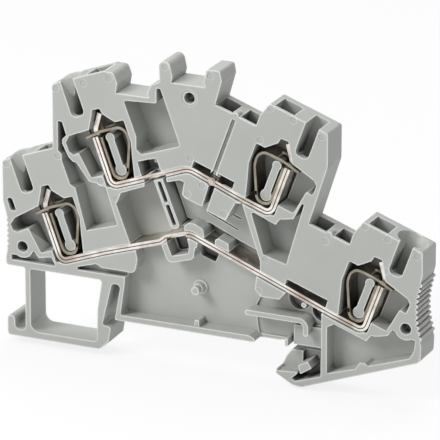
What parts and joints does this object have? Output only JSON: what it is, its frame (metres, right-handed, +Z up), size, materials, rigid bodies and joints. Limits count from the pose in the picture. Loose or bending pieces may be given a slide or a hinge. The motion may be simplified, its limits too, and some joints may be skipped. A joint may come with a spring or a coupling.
{
  "type": "double level terminal block",
  "caption": "Two-level spring-clamp terminal block for a 35 mm rail, open on one side, with stepped towers, current bars and clamp springs.",
  "frame": {"origin": "middle of the rail seat, halfway through the block's width", "axes": "+X along the block towards its lower end, +Y from the open side to the closed side, +Z up from the rail"},
  "size_m": [0.0678, 0.0052, 0.0474],
  "materials": {
    "housing": "moulded polyamide, fine satin",
    "bar": "tin-plated copper",
    "spring": "hardened spring steel"
  },
  "bodies": {
    "block": {"housing": "housing", "upper_bar": "bar", "lower_bar": "bar"},
    "upper_left_clamp": {"spring_upper_left": "spring"},
    "upper_right_clamp": {"spring_upper_right": "spring"},
    "lower_left_clamp": {"spring_lower_left": "spring"},
    "lower_right_clamp": {"spring_lower_right": "spring"}
  },
  "joints": [
    {"name": "upper_left_press", "type": "hinge", "parent": "block", "child": "upper_left_clamp", "pos_m": [-0.01512, 0, 0.02341], "axis": [0, -1, 0], "range_deg": [0, 13], "stiffness_Nm_per_rad": 1.2, "deforming": ["spring_upper_left"]},
    {"name": "upper_right_press", "type": "hinge", "parent": "block", "child": "upper_right_clamp", "pos_m": [0.00828, 0, 0.02281], "axis": [0, 1, 0], "range_deg": [0, 13], "stiffness_Nm_per_rad": 1.2, "deforming": ["spring_upper_right"]},
    {"name": "lower_left_press", "type": "hinge", "parent": "block", "child": "lower_left_clamp", "pos_m": [-0.02362, 0, 0.01031], "axis": [0, -1, 0], "range_deg": [0, 13], "stiffness_Nm_per_rad": 1.2, "deforming": ["spring_lower_left"]},
    {"name": "lower_right_press", "type": "hinge", "parent": "block", "child": "lower_right_clamp", "pos_m": [0.02313, 0, 0.00681], "axis": [0, 1, 0], "range_deg": [0, 13], "stiffness_Nm_per_rad": 1.2, "deforming": ["spring_lower_right"]}
  ]
}
